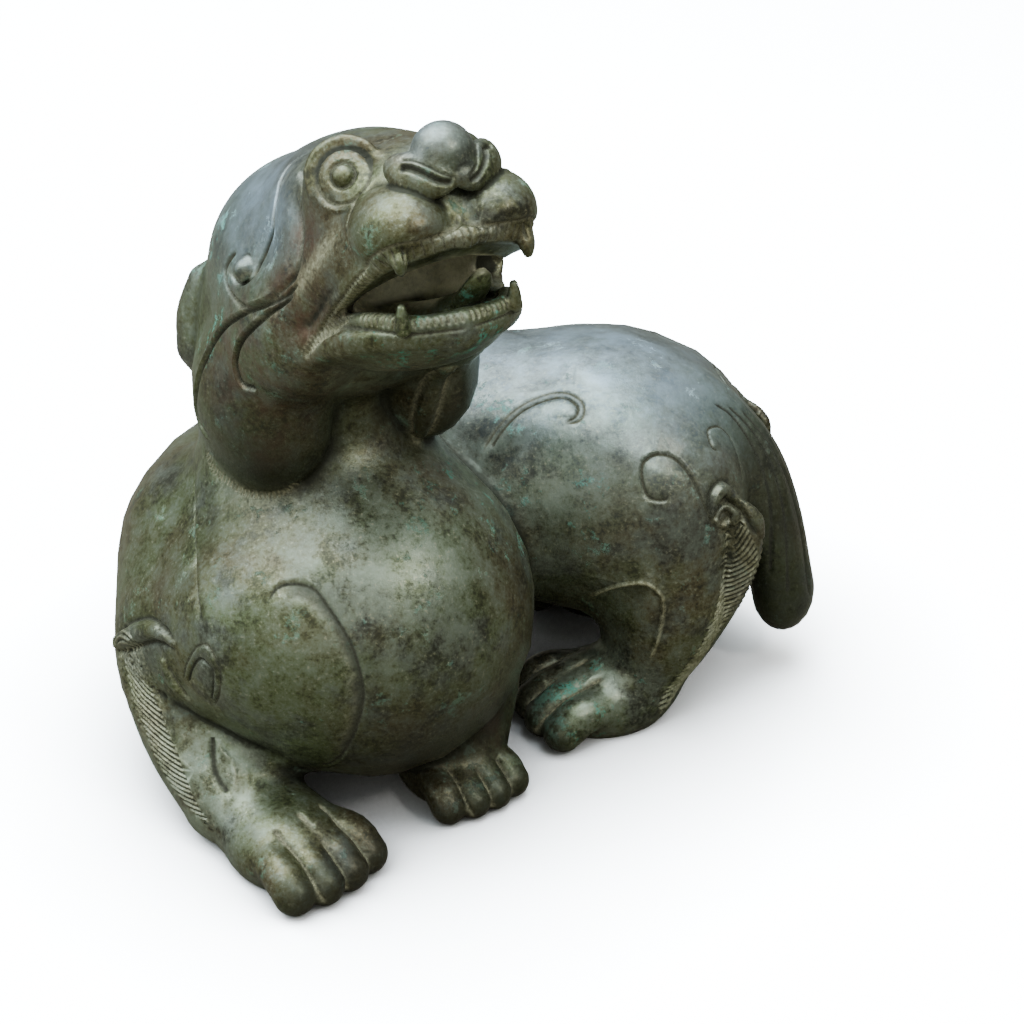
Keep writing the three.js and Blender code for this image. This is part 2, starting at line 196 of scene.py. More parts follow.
def addTrunk():
    add(Egg(chest, (0, 0, 0), (90, 90, 90)), 0)
    add(Limb(ground, [(-95, 5, 104, 80), (-137, 34, 98, 80), (-124, 82, 102, 72), (-72, 114, 110, 70),
                      (-16, 112, 118, 76), (34, 98, 121, 75), (50, 90, 119, 72)], 6), 20)
    add(Egg(rump, (5, 0, 3), (78, 74, 74)), 20)
    add(Limb(ground, [(-100, 8, 150, 68), (-107, 16, 200, 57), (-109, 18, 240, 55), (-98, 6, 290, 54)]), 18)


def addLegs():
    add(Limb(chest, [(6, -54, 10, 50), (-52, -79, -28, 37), (-32, -88, -60, 31), (8, -88, -84, 27)]), 32)
    addPaw(ground, (-112, -109), -46, 1.0)
    add(Limb(chest, [(10, 30, 0, 46), (-8, 62, -30, 36), (14, 56, -60, 27), (34, 42, -84, 21)]), 16)
    addPaw(ground, (-31, -39), -54, 0.86)
    add(Limb(chest, [(-62, -98, -22, 8), (-80, -100, -42, 12), (-79, -101, -62, 13), (-60, -101, -76, 13),
                     (-30, -100, -87, 10), (2, -99, -97, 5)], flat=(0, 1, 0), squeeze=0.5), 5)
    for s in sides:
        add(Egg(rump, (18, s * 40, 6), (80, 40, 62)), 14)
        add(Limb(rump, [(-22, s * 38, 6, 40), (-28, s * 52, -46, 35), (-20, s * 56, -84, 26),
                        (-8, s * 58, -104, 20)]), 20)
        add(Limb(rump, [(-58, s * 56, 16, 6), (-70, s * 57, 4, 8), (-71, s * 57, -14, 9),
                        (-64, s * 57, -40, 9), (-52, s * 57, -68, 8), (-38, s * 57, -94, 6),
                        (-26, s * 57, -114, 4)], flat=(0, 1, 0), squeeze=0.6), 4)
    addPaw(ground, (46, 30), 202, 1.04)
    addPaw(rump, (22, -62), -8, 1.04)
    add(Limb(rump, [(-20, 0, 55, 12), (-48, 0, 41, 17), (-70, 0, 12, 22), (-83, -2, -24, 24),
                    (-94, -4, -74, 24)], flat=(1, 0, 0), squeeze=0.75), 8)


def addHead():
    skull = Egg(head, (-34, 0, -22), (57, 60, 60))
    add(skull, 20)
    mass = []
    add(skull, 0, mass)
    add(Egg(head, (8, 0, 3), (62, 47, 44)), 20, mass)
    add(Egg(head, (52, 0, 0), (56, 44, 42)), 14, mass)
    for s in sides:
        add(Limb(head, [(0, s * 34, -34, 26), (40, s * 32, -16, 19), (74, s * 28, -8, 13.5), (97, s * 22, -2, 12)]),
            12, mass)
        add(Egg(head, (46, s * 28, 18 - 4 * s), (22, 17, 18 - s)), 8, mass)
        add(Egg(head, (-30, s * 40, -46), (50, 27, 34)), 16, mass)
    add(Egg(head, (-73, -43, -79), (46, 33, 50)), 15, mass)
    add(Egg(head, (-70, 41, -73), (44, 32, 46)), 15, mass)
    for s in sides:
        add(Limb(head, [(0, s * 42, -50, 14), (30, s * 42, -47, 10), (62, s * 35, -43, 9),
                        (83, s * 20, -43, 9), (88, 0, -44, 9)]), 8, mass)
    add(Egg(head, (34, 0, -52), (52, 38, 14)), 8, mass)
    addMouth(mass)
    addFace(mass)
    add(Cluster(mass), 4)
    for s in sides:
        add(Limb(head, [(-102, s * 52, -20, 9), (-111, s * 56, -36, 11), (-115, s * 56, -53, 13)]), 6)


def addMouth(mass):
    carve(Wedge(head, [((30, -43), (108, -7), 1), ((30, -40), (95, -37), -1)],
                Egg(head, (76, 0, -28), (50, 80, 50)), 5), 4, mass)
    carve(Egg(head, (56, 0, -24), (42, 35, 20)), 5, mass)
    for s in sides:
        add(Limb(head, [(20, s * 46, -48, 2.5), (50, s * 43, -29, 4), (78, s * 39, -15, 4.5), (100, s * 29, -7, 4.5),
                        (108, s * 10, -3, 4.5), (109, 0, -3, 4.5)]), 3, mass)
        add(Limb(head, [(36, s * 43, -42, 3), (58, s * 38, -36, 4), (76, s * 32, -36, 4), (90, s * 20, -39, 4),
                        (94, 0, -40, 4)]), 3, mass)
        add(Limb(head, [(90, s * 28, -40, 3.6), (91, s * 28, -35, 3.1), (92, s * 28, -30, 2)]), 1.5, mass)
    for s, low in ((1, -16), (-1, -12.5)):
        add(Limb(head, [(104, s * 31, -6, 4.6), (106, s * 31, low + 4, 3.8), (106, s * 31, low, 2.4)]), 1.5, mass)
    carve(Egg(head, (64, 46, -25), (33, 17, 13)), 3, mass)
    add(Limb(head, [(10, 0, -52, 14), (40, 0, -47, 12), (62, 5, -42, 9), (76, 9, -36, 6)]), 5, mass)
    add(Limb(head, [(70, 8, -38, 6), (80, 11, -33, 8), (87, 13, -27, 7), (89, 14, -22, 3)],
             flat=(-0.6, 0, 0.8), squeeze=0.45), 2, mass)


def addFace(mass):
    for s in sides:
        add(Wedge(head, [((82, -20), (112, -1), -1)], Egg(head, (88, s * 22, 4), (28, 22, 20)), 4), 2, mass)
    for s, wide in ((1, 23), (-1, 19)):
        add(Limb(head, [(94, s * wide, 30, 7), (100, s * (wide - 3.5), 27, 10), (105.5, s * 10, 25, 10),
                        (108, s * 4, 23, 6)], flat=(0.83, s * 0.5, 0.25), squeeze=0.6), 1.5, mass)
    for s, low in ((1, 7.5), (-1, 0)):  # the eye on the far side sits lower
        add(Limb(head, [(59, s * 30.5, 28.5 - low, 14.5), (59.5, s * 30.8, 28.6 - low, 14.5)],
                 flat=(0.78, s * 0.56, 0.27), squeeze=0.52), 2, mass)
        add(Limb(head, [(69, s * 16.5, 33 - low, 1.4), (63.5, s * 19.8, 41.5 - low, 2.2), (56.2, s * 28.2, 45.2 - low, 2.5),
                        (50.8, s * 38, 41.5 - low, 2.5), (49.4, s * 43.9, 33 - low, 2.3), (52, s * 45, 23 - low, 1.5)]),
            3, mass)
        add(Egg(head, (-17.5, s * 57, -10), (6, 7.5, 6)), 1.2, mass)
    add(Egg(head, (101, 0, 34.5), (13.2, 14.4, 13.6)), 1.5, mass)


addTrunk()
addLegs()
addHead()


# The skin of the whole beast, read in blocks so that each block meets only its own forms
blockSize = 40.0


def skinGap(points, near=8.0):
    out = np.empty(len(points))
    blocks = (np.floor(points / blockSize).astype(np.int64) + 50) @ np.array([10000, 100, 1])
    order = np.argsort(blocks, kind="stable")
    groups = np.split(order, np.flatnonzero(np.diff(blocks[order])) + 1)
    pieces = [g for group in groups for g in np.array_split(group, len(group) // 12000 + 1)]

    def readBlock(group):
        out[group] = blend(forms, points[group], near)

    list(helpers.map(readBlock, pieces))
    return out


corners = np.array([(i, j, k) for i in (0, 1) for j in (0, 1) for k in (0, 1)])
skin = {"cell": 1.4, "halvings": 4, "low": (-214, -206, -16), "high": (214, 206, 416), "triangles": 195000}


def cellKey(c):
    return (c[:, 0].astype(np.int64) * 4096 + c[:, 1]) * 4096 + c[:, 2]


def skinCells():
    size = skin["cell"] * 2 ** skin["halvings"]
    low = np.array(skin["low"], float)
    counts = np.ceil((np.array(skin["high"]) - low) / size).astype(int)
    cells = np.stack(np.meshgrid(*[np.arange(n) for n in counts], indexing="ij"), -1).reshape(-1, 3)
    for level in range(skin["halvings"]):
        gap = skinGap(low + (cells + 0.5) * size, 1e4 if level == 0 else size * 2.5)
        cells = cells[np.abs(gap) < size * 0.87 * 1.5 + 1.5]
        cells = (cells[:, None] * 2 + corners).reshape(-1, 3)
        size /= 2
    return low, size, cells


def meshSkin():
    low, size, cells = skinCells()
    key, inverse = np.unique(cellKey((cells[:, None] + corners).reshape(-1, 3)), return_inverse=True)
    nodes = np.stack([key // 4096 ** 2, key // 4096 % 4096, key % 4096], 1)
    gap = skinGap(low + nodes * size, size * 3)
    value = gap[inverse.reshape(-1, 8)]
    live = (value.min(1) < 0) & (value.max(1) >= 0)
    cells, value = cells[live], value[live]
    total, count = np.zeros((len(cells), 3)), np.zeros(len(cells))
    for a in range(8):
        for b in range(a + 1, 8):
            if bin(a ^ b).count("1") == 1:
                crossed = (value[:, a] < 0) != (value[:, b] < 0)
                t = np.where(crossed, value[:, a] / np.where(crossed, value[:, a] - value[:, b], 1), 0)
                spot = corners[a] + (corners[b] - corners[a]) * t[:, None]
                total += np.where(crossed[:, None], spot, 0)
                count += crossed
    points = low + (cells + total / count[:, None]) * size
    key = cellKey(cells)
    order = np.argsort(key)
    key = key[order]
    quads = []
    for axis in range(3):
        inside, beyond = value[:, 0] < 0, value[:, 4 >> axis] < 0
        edge = np.flatnonzero(inside != beyond)
        first, second = np.eye(3, dtype=int)[[(axis + 1) % 3, (axis + 2) % 3]]
        ring, whole = [], np.ones(len(edge), bool)
        for back in (0 * first, first, first + second, second):
            wanted = cellKey(cells[edge] - back)
            found = np.clip(np.searchsorted(key, wanted), 0, len(key) - 1)
            whole &= key[found] == wanted
            ring.append(order[found])
        quad = np.stack(ring, 1)[whole]
        flip = ~inside[edge][whole]
        quad[flip] = quad[flip][:, ::-1]
        quads.append(quad)
    quads = np.vstack(quads)
    return points, np.vstack([quads[:, [0, 1, 2]], quads[:, [0, 2, 3]]])


tetra = np.array([(1, -1, -1), (-1, -1, 1), (-1, 1, -1), (1, 1, 1)], float)


def settle(points, step=0.35):  # moves points onto the skin and gives their normals
    value = [skinGap(points + step * d) for d in tetra]
    slope = sum(v[:, None] * d for v, d in zip(value, tetra)) / (4 * step)
    length = np.maximum(np.sqrt((slope ** 2).sum(1, keepdims=True)), 0.3)
    move = np.clip(sum(value)[:, None] / 4 / length, -1, 1)
    normal = slope / length
    return points - normal * move, normal


def refine(points, triangles, fine):  # halves every edge whose two ends are marked fine
    edges = np.sort(np.vstack([triangles[:, [0, 1]], triangles[:, [1, 2]], triangles[:, [2, 0]]]), 1)
    key, inverse = np.unique(edges[:, 0].astype(np.int64) * len(points) + edges[:, 1], return_inverse=True)
    a, b = key // len(points), key % len(points)
    cut = fine[a] & fine[b]
    middle = np.full(len(key), -1)
    middle[cut] = len(points) + np.arange(cut.sum())
    points = np.vstack([points, (points[a[cut]] + points[b[cut]]) / 2])
    m = middle[inverse.reshape(3, -1).T]
    made = []
    for turn in range(3):
        t, n = np.roll(triangles, -turn, 1), np.roll(m, -turn, 1)
        c = n >= 0
        one = c[:, 0] & ~c[:, 1] & ~c[:, 2]
        made += [np.stack([t[one, 0], n[one, 0], t[one, 2]], 1), np.stack([n[one, 0], t[one, 1], t[one, 2]], 1)]
        two = c[:, 0] & c[:, 1] & ~c[:, 2]
        made += [np.stack([n[two, 0], t[two, 1], n[two, 1]], 1), np.stack([t[two, 0], n[two, 0], n[two, 1]], 1),
                 np.stack([t[two, 0], n[two, 1], t[two, 2]], 1)]
    c = (m >= 0).all(1)
    made += [triangles[(m < 0).all(1)], m[c]]
    made += [np.stack([triangles[c, i], m[c, i], m[c, i - 1]], 1) for i in range(3)]
    return points, np.vstack(made), np.append(fine, np.ones(cut.sum(), bool))


skinPoints, skinTriangles = meshSkin()
print("stage: skin drawn,", len(skinPoints), "points")


# Carving: lines and strips that follow a path over the skin
def hump(x, width):
    return np.exp(-(x / width) ** 2)


def rise(x, width):
    return 0.5 + 0.5 * np.tanh(x / width)


def between(t, start, end):  # smooth 0 to 1 as t goes from start to end
    x = np.clip((t - start) / (end - start), 0, 1)
    return x * x * (3 - 2 * x)


def fading(t, head=0.08, tail=0.08):
    return between(t, 0, head) * between(1 - t, 0, tail)


class Stroke:  # a path on the skin, and how the surface is cut or raised across it
    def __init__(self, s, knots, profile, reach, side=1, deep=9.0, steps=8):
        self.line = curve(s.out([(f, l * side, u) for f, l, u in knots]), steps)
        self.profile, self.reach, self.side, self.deep = profile, reach, side, deep

    def near(self, points):
        low, high = self.line.min(0) - self.reach - self.deep, self.line.max(0) + self.reach + self.deep
        return np.flatnonzero(((points > low) & (points < high)).all(1))

    def measure(self, points, normals):  # signed distance across, length along, share of the whole
        start, step = self.line[:-1], np.diff(self.line, axis=0)
        length = np.sqrt((step ** 2).sum(1))
        along = (points @ step.T - (start * step).sum(1)) / length ** 2
        t = np.clip(along, 0, 1)
        away = (points[:, None] - start - t[..., None] * step)
        best = (away ** 2).sum(2).argmin(1)
        row = np.arange(len(points))
        away, t = away[row, best], t[row, best]
        lift = (away * normals).sum(1)
        away = away - normals * lift[:, None]
        across = np.sqrt((away ** 2).sum(1))
        direction = step[best] / length[best][:, None]
        sign = np.sign((away * np.cross(normals, direction)).sum(1)) * self.side
        travelled = np.concatenate([[0], np.cumsum(length)])[:-1][best] + t * length[best]
        return np.where(sign == 0, 1, sign) * across, travelled, travelled / length.sum(), lift


class Disc:  # rings about an axis: the distance from it, and how far down the ring the point lies
    def __init__(self, s, centre, axis, profile, reach, side=1, deep=12.0):
        self.centre, self.profile, self.reach, self.deep = s.out(centre * np.array([1, side, 1])), profile, reach, deep
        self.axis = (np.array(axis) * (1, side, 1) / np.linalg.norm(axis)) @ s.axes
        self.down = -s.axes[2]

    def near(self, points):
        size = self.reach + self.deep
        return np.flatnonzero((np.abs(points - self.centre) < size).all(1))

    def measure(self, points, normals):
        away = points - self.centre
        lift = away @ self.axis
        away = away - lift[:, None] * self.axis
        radius = np.maximum(np.sqrt((away ** 2).sum(1)), 1e-6)
        return radius, away @ self.down / radius, 0 * radius + 0.5, lift


strokes = []


def cutLine(depth=1.0, width=1.0, lip=0.0, lipAt=2.4, head=0.06, tail=0.06, dust=0.8):
    def profile(q, s, t):  # an incised line, with an optional raised lip on one side
        end = fading(t, head, tail)
        return (lip * hump(q - lipAt, 1.3) - depth * hump(q, width)) * end, dust * hump(q, width * 1.2) * end
    return profile


def stepLine(height=1.0, soft=0.7, fade=12.0, groove=0.5, head=0.1, tail=0.1, dust=0.5):
    def profile(q, s, t):  # the left side stands proud of the right side, with a groove at its foot
        end = fading(t, head, tail)
        return (height * rise(q, soft) * np.exp(-np.maximum(q, 0) / fade) * end
                - groove * hump(q + 0.8, 0.9) * end, dust * hump(q + 0.6, 1.4) * end)
    return profile


def ribLine(height=0.9, width=1.2, head=0.08, tail=0.08, dust=0.5):
    def profile(q, s, t):
        end = fading(t, head, tail)
        return height * hump(q, width) * end, dust * hump(q, width) * end
    # pale along the ridge: painted highlight, with dust
    return profile


def bandLine(height, halves, groove=0.8, edge=0.7, dust=0.35, tail=0.12):
    def profile(q, s, t):  # a raised rounded band whose half width follows the list, grooved along both sides
        half = np.interp(t, np.linspace(0, 1, len(halves)), halves)
        body = between(half + edge - np.abs(q), 0, half * 0.8) * np.minimum(half / max(halves) * 1.4, 1)
        foot = hump(np.abs(q) - half - edge, 1.5)
        return height * body - groove * foot * fading(t, 0.08, tail), dust * foot
    return profile


def dustBand(width, amount, head=0.2, tail=0.2):
    def profile(q, s, t):
        return 0 * q, amount * hump(q, width) * fading(t, head, tail)
    return profile


def teethMarks(pitch=3.4, half=4.0, depth=0.7, dust=0.5, head=0.03, tail=0.03):
    def profile(q, s, t):  # short upright cuts side by side along a strip
        end = fading(t, head, tail)
        band = rise(half - np.abs(q), 0.5) * end
        cut = hump((s / pitch - np.round(s / pitch)) * pitch, 0.55)
        return -depth * cut * band, (0.25 + 0.75 * cut) * dust * band
    return profile


def ropeMarks(pitch, halves, slant, height=0.9, dust=0.6):
    def profile(q, s, t):  # slanting rounded strands, with dark gaps between them
        half = np.interp(t, np.linspace(0, 1, len(halves)), halves)
        band = rise(half - np.abs(q), 0.6)
        x = (s + slant * q) / pitch
        strand = hump(x - np.round(x), 0.27)
        # pale along each strand: painted highlight, with dust
        return band * (1.5 * height * strand - height * 0.7), band * dust * strand
    return profile


def eyeRings(q, down, t):
    boss = 2.8 * np.sqrt(np.clip(1 - (q / 4.7) ** 2, 0, 1))
    rings = 0.4 * hump(q - 8.0, 1.4) - 0.9 * hump(q - 6.0, 0.8) - 1.3 * hump(q - 13.2, 0.9)
    lower = 1.0 * hump(q - 15.8, 0.9) * between(down, 0.2, 0.6)
    return boss + rings + lower, 0.5 * hump(q - 13.2, 1.0) * rise(down, 0.3) + 0.3 * hump(q - 6.0, 0.8)


def both(knots, profile, reach, section=head, **more):
    for side in sides:
        strokes.append(Stroke(section, knots, profile, reach, side * -1, **more))


def one(section, knots, profile, reach, **more):
    strokes.append(Stroke(section, knots, profile, reach, **more))


# Paths for the near side, with left counted outwards where a path is made on both sides
def carveHead():
    both([(16, 28, 38), (18, 33, 33), (17, 40, 27), (18, 44, 18), (19, 47, 6), (18, 50, -2), (14, 52, -9),
          (8, 55, -15), (-1, 60, -20), (-15, 62, -21), (-26, 62, -18), (-34, 62, -13)],
         bandLine(3.2, [5, 11, 16, 16, 15, 16, 17, 16, 13, 9.5, 6, 4, 1.5], 0), 20)
    both([(13, 23, 41), (7, 26, 40), (-1, 30, 37), (-4, 33, 34), (-3, 38, 29), (1, 43, 23), (3, 46, 16), (3, 49, 7),
          (-2, 52, -1), (-7, 54, -8), (-9, 58, -14), (-15, 60, -16.5), (-23, 61, -16), (-30, 62, -12)],
         cutLine(1.8, 1.2, 0.2, -3.0, dust=0.1), 8)
    both([(20, 34, 33), (34, 43, 27), (35, 44, 21), (33, 45, 14), (35, 47, 3), (35, 49, -4), (34, 51, -9), (29, 53, -15),
          (18, 56, -21), (8, 59, -25), (-2, 63, -27), (-15, 64, -26), (-28, 64, -22), (-36, 63, -17), (-38, 62, -10),
          (-32, 59, -4), (-25, 58, -2)], cutLine(2.2, 1.4, dust=0.25), 8)
    for side in sides:
        strokes.append(Disc(head, (67, 35, 26.7 - side * 3.8), (0.78, 0.56, 0.27), eyeRings, 28, side, 18))
    both([(36, 52, -15), (23, 55, -22), (10, 59, -26), (-2, 63, -28), (-15, 65, -31), (-48, 67, -41), (-65, 72, -55),
          (-74, 75, -68), (-82, 75, -79), (-82, 75, -88), (-73, 74, -94)],
         cutLine(2.4, 1.1, 0.9, 2.6, tail=0.03, dust=0.15), 8)
    both([(32, 54, -20), (22, 56, -25), (12, 60, -29), (0, 64, -35), (-17, 67, -43), (-31, 67, -53), (-34, 66, -60),
          (-33, 65, -66), (-25, 61, -68)], cutLine(2.4, 1.1, 0.8, 2.6, 0.12, 0.02, 0.15), 8)
    both([(27, 53, -49), (48, 46, -33), (76, 44, -18), (97, 40, -5), (109, 34, -1), (112, 25, -1), (112, 12, 0),
          (110, 3, 3), (107, 0, 8)], cutLine(1.2, 1.0, dust=0.6), 5)
    both([(24, 53, -51), (44, 46, -38), (70, 42, -23), (91, 39, -12)], teethMarks(2.9, 2.6, 1.0, 0.9), 6)
    both([(91, 39, -12), (106, 36, -7), (109, 25, -6), (111, 15, -4), (113, 5, -3), (113, 0, -3)],
         teethMarks(4.7, 3.6, 0.9, 0.45), 7)
    both([(24, 54, -52), (36, 50, -45), (46, 47, -40), (60, 40, -33)], cutLine(1.8, 1.7, dust=0.9), 5)
    both([(66, 38, -35), (80, 32, -36), (93, 23, -38), (97, 9, -39), (98, 0, -39)], teethMarks(3.1, 2.0, 0.8, 0.7), 5)
    both([(52, 44, -37), (68, 40, -38), (80, 34, -40), (92, 24, -43), (97, 9, -44), (98, 0, -44)],
         cutLine(0.8, 0.9, dust=0.2), 5)
    one(head, [(100, -20, 34), (104, -16, 33), (109, -12, 30), (113, -7, 26), (113, -1, 23)],
        cutLine(0.9, 0.7, dust=0.1), 4)
    one(head, [(101, -22, 31), (104, -18, 30), (108, -14, 27), (112, -9, 23), (113, -2, 21)],
        cutLine(2.6, 1.4, dust=0.1), 5)
    one(head, [(101, 24, 33), (105, 19, 33), (107, 18, 30), (110, 15, 26), (112, 10, 22), (113, 5, 20)],
        cutLine(2.2, 1.2, dust=0.1), 5)
    one(head, [(103, 15, 36), (109, 13, 32), (112, 10, 26), (113, 5, 22)], cutLine(0.8, 0.7, dust=0.1), 3)
    both([(78, 31, 22), (79, 36, 18), (80, 41, 12), (80, 44, 5), (80, 44, -2)], cutLine(1.4, 1.8, dust=0.5), 7)
    both([(71, 39, 14), (69, 42, 8), (62, 45, 1), (51, 49, -7), (38, 52, -15), (25, 55, -23)],
         dustBand(4.5, 0.8, 0.35, 0.2), 12)
    one(head, [(-106, -67, -105), (-99, -67, -114), (-87, -65, -120), (-75, -60, -126), (-65, -54, -128),
               (-57, -46, -127), (-49, -41, -122)], teethMarks(2.6, 2.2, 0.8, 0.9), 5)
    one(head, [(-13, 34, -76), (-24, 32, -85), (-37, 30, -98), (-57, 32, -114)],
        bandLine(2.2, [4.5, 5.5, 5.5, 5, 3], 1.2, 0.8, 0.5), 11)


def carvePaws():
    for own, size in paws:
        for gap in (-1, 0, 1):
            path = np.array([[0, gap * 13, 29], [16, gap * 15, 25], [28, gap * 15.7, 20], [39, gap * 16, 11], [43, gap * 16, 2]])
            one(own, path * size, cutLine(1.6, 1.2, tail=0.01, dust=0.85), 5, deep=14)


def carveChest():
    one(chest, [(-60, -65, 73), (-46, -72, 64), (-32, -79, 55), (-12, -88, 50), (4, -96, 43), (16, -100, 33),
                (24, -101, 23)], stepLine(2.2, 1.2, 16, 1.6, 0.1, 0.3, 0.15), 24, deep=14)
    one(chest, [(40, -76, 44), (38, -69, 51), (41, -62, 54), (49, -54, 53), (59, -51, 46), (69, -47, 34),
                (74, -45, 23), (78, -44, 5), (76, -46, -12), (68, -49, -32), (54, -52, -50), (40, -60, -62)],
        cutLine(0.9, 0.8, 0.4, 2.0, dust=0.1), 5)
    one(chest, [(43, -69, 47), (45, -62, 50), (52, -57, 48), (62, -52, 40), (69, -50, 29), (73, -48, 18),
                (75, -48, 1), (73, -50, -16), (63, -54, -38)], stepLine(-1.1, 0.6, 14, dust=0.35), 20)
    one(chest, [(1, -105, -8), (7, -104, 6), (14, -102, 17), (22, -100, 22), (28, -99, 17), (31, -98, 9),
                (27, -97, -4), (18, -96, -16)], cutLine(1.0, 0.8, 0.5, -2.0, dust=0.25), 5)
    one(chest, [(5, -104, -8), (10, -104, 3), (17, -102, 12), (24, -101, 12), (26, -99, 5), (18, -97, -14)],
        cutLine(1.4, 0.8, dust=0.1), 5)
    one(chest, [(3, -93, -49), (9, -97, -54), (17, -100, -61), (27, -98, -68)], cutLine(1.6, 1.6, dust=0.1), 6)
    one(chest, [(3, -92, -49), (11, -92, -54), (16, -90, -57), (23, -92, -62), (29, -95, -68)],
        ribLine(0.9, 0.9, dust=0.3), 5)
    one(chest, [(-66, -112, -23), (-48, -112, -7), (-32, -109, 4), (-18, -107, 8.5), (-4, -106, 10)],
        bandLine(3.6, [1.5, 5, 6, 5.5, 3.5, 1.5], 1.6, 0.8, 0.1), 12)
    one(chest, [(-14, -109, -5), (-12, -107, -13), (-6, -104, -19), (-1, -103, -23)],
        bandLine(2.4, [2.5, 4.5, 3.5, 1], 0.8, 0.7, 0.3), 9)
    one(chest, [(-46, -112, -19), (-42, -114, -27), (-36, -114, -38), (-26, -115, -48), (-13, -115, -60),
                (2, -114, -71), (17, -112, -79), (24, -110, -83)],
        ropeMarks(4.2, [17, 15, 12, 10, 9, 7, 4, 1.5], -1.5), 19)


def carveRump():
    for side in sides:
        def mark(knots, profile, reach, **more):
            strokes.append(Stroke(rump, knots, profile, reach, side, **more))
        mark([(73, 63, 41), (70, 59, 47), (61, 51, 58), (49, 45, 66), (35, 42, 70), (24, 46, 70),
              (19, 52, 67), (20, 59, 63), (29, 61, 60)], cutLine(0.7, 0.8, dust=0.3), 5)
        mark([(69, 63, 43), (64, 58, 51), (54, 51, 61), (42, 47, 67), (31, 46, 69), (23, 52, 68),
              (23, 57, 64), (29, 60, 61)], cutLine(1.5, 1.1, -0.5, 2.6, dust=0.15), 6)
        mark([(-30, 75, 31), (-27, 78, 27), (-19, 79, 29), (-15, 76, 37), (-15, 71, 45), (-22, 66, 48),
              (-32, 65, 45), (-42, 68, 35), (-48, 70, 22), (-54, 69, 9), (-60, 64, 3), (-65, 61, 8)],
             cutLine(1.2, 0.9, 0.4, 2.0, dust=0.2), 5)
        mark([(-50, 66, 14), (-54, 64, 23), (-61, 60, 26), (-69, 60, 21), (-76, 59, 9), (-80, 58, -3)],
             bandLine(3.2, [1.5, 4, 5, 5, 4, 1.5], 1.2, 0.7, 0.1), 10, deep=14)
        mark([(-55, 67, 10), (-57, 65, 15), (-61, 63, 16), (-65, 62, 12), (-64, 62, 7), (-60, 63, 5)],
             bandLine(2.0, [1, 2, 2.4, 2.6, 3], 1.2, 0.6, 0.4), 6, deep=14)
        mark([(-67, 40, 20), (-66, 33, 27), (-60, 27, 38), (-54, 28, 47), (-48, 37, 50), (-48, 43, 48),
              (-51, 47, 44), (-55, 44, 41)], cutLine(1.2, 0.9, 0.3, 2.0, dust=0.15), 5)
        mark([(14, 75, -39), (1, 82, -28), (-12, 85, -22), (-21, 86, -22), (-28, 86, -29), (-29, 87, -41),
              (-26, 87, -59), (-22, 84, -72)], ribLine(1.5, 1.1, dust=0.8), 5)
        mark([(-68, 64, 4), (-72, 63, -15), (-68, 64, -32), (-59, 66, -52), (-48, 68, -72), (-37, 70, -92),
              (-26, 72, -106)], ropeMarks(4.0, [4, 7, 8, 8, 7.5, 6.5, 4.5], 1.1, 1.1, 0.8), 12, deep=14)
        for knots in ([(-47, 17, 56), (-58, 14, 48), (-70, 16, 33), (-79, 19, 15), (-84, 20, -11), (-86, 20, -50)],
                      [(-54, 11, 53), (-70, 11, 39), (-82, 13, 20), (-89, 15, -3), (-93, 16, -34), (-96, 17, -66)],
                      [(-62, 6, 48), (-79, 6, 28), (-92, 6, 3), (-101, 6, -29), (-106, 7, -57), (-108, 7, -72)]):
            mark(knots, cutLine(1.3, 1.0, dust=0.05), 4, deep=12)


carveHead()
carveChest()
carveRump()
carvePaws()


def carveSkin(points, normals):
    height, dust = np.zeros(len(points)), np.zeros(len(points))
    for stroke in strokes:
        rows = stroke.near(points)
        for part in np.array_split(rows, len(rows) // 20000 + 1):
            if len(part):
                q, s, t, lift = stroke.measure(points[part], normals[part])
                h, d = stroke.profile(q, s, t)
                keep = between(stroke.reach - np.abs(q), 0, stroke.reach * 0.3) * (np.abs(lift) < stroke.deep)
                height[part] += h * keep
                dust[part] = np.maximum(dust[part], d * keep)
    return height, dust


def fineRows(points, normals, width):
    fine = np.zeros(len(points), bool)
    for stroke in strokes:
        rows = stroke.near(points)
        for part in np.array_split(rows, len(rows) // 20000 + 1):
            if len(part):
                q, s, t, lift = stroke.measure(points[part], normals[part])
                fine[part] |= (np.abs(q) < min(stroke.reach, width)) & (np.abs(lift) < stroke.deep)
    return fine


skinPoints, skinNormals = settle(skinPoints)
skinPoints, skinTriangles, fine = refine(skinPoints, skinTriangles, fineRows(skinPoints, skinNormals, 8.0))
skinPoints, skinNormals = settle(skinPoints)
# the second value is dust in grooves and painted highlight along ridges and strands
relief, grooveDustAndRidgeHighlight = carveSkin(skinPoints, skinNormals)
skinPoints = skinPoints + skinNormals * relief[:, None]
skinPoints[:, 2] = np.maximum(skinPoints[:, 2], 0)
print("stage: skin carved,", len(skinPoints), "points,", len(skinTriangles), "triangles")


def spread(values, triangles, rounds):  # averages each point with its neighbours
    a = np.concatenate([triangles[:, 0], triangles[:, 1], triangles[:, 2]])
    b = np.concatenate([triangles[:, 1], triangles[:, 2], triangles[:, 0]])
    n = len(values)
    count = np.bincount(a, minlength=n) + np.bincount(b, minlength=n)
    flat = values.reshape(n, -1)
    for _ in range(rounds):
        total = [np.bincount(a, c[b], n) + np.bincount(b, c[a], n) for c in flat.T]
        flat = 0.5 * flat + 0.5 * np.stack(total, 1) / count[:, None]
    return flat.reshape(values.shape)


def meshNormals(points, triangles):
    a, b, c = (points[triangles[:, i]] for i in range(3))
    face = np.cross(b - a, c - a)
    normal = np.stack([sum(np.bincount(triangles[:, i], face[:, n], len(points)) for i in range(3))
                       for n in range(3)], 1)
    return normal / np.maximum(np.sqrt((normal ** 2).sum(1, keepdims=True)), 1e-12)


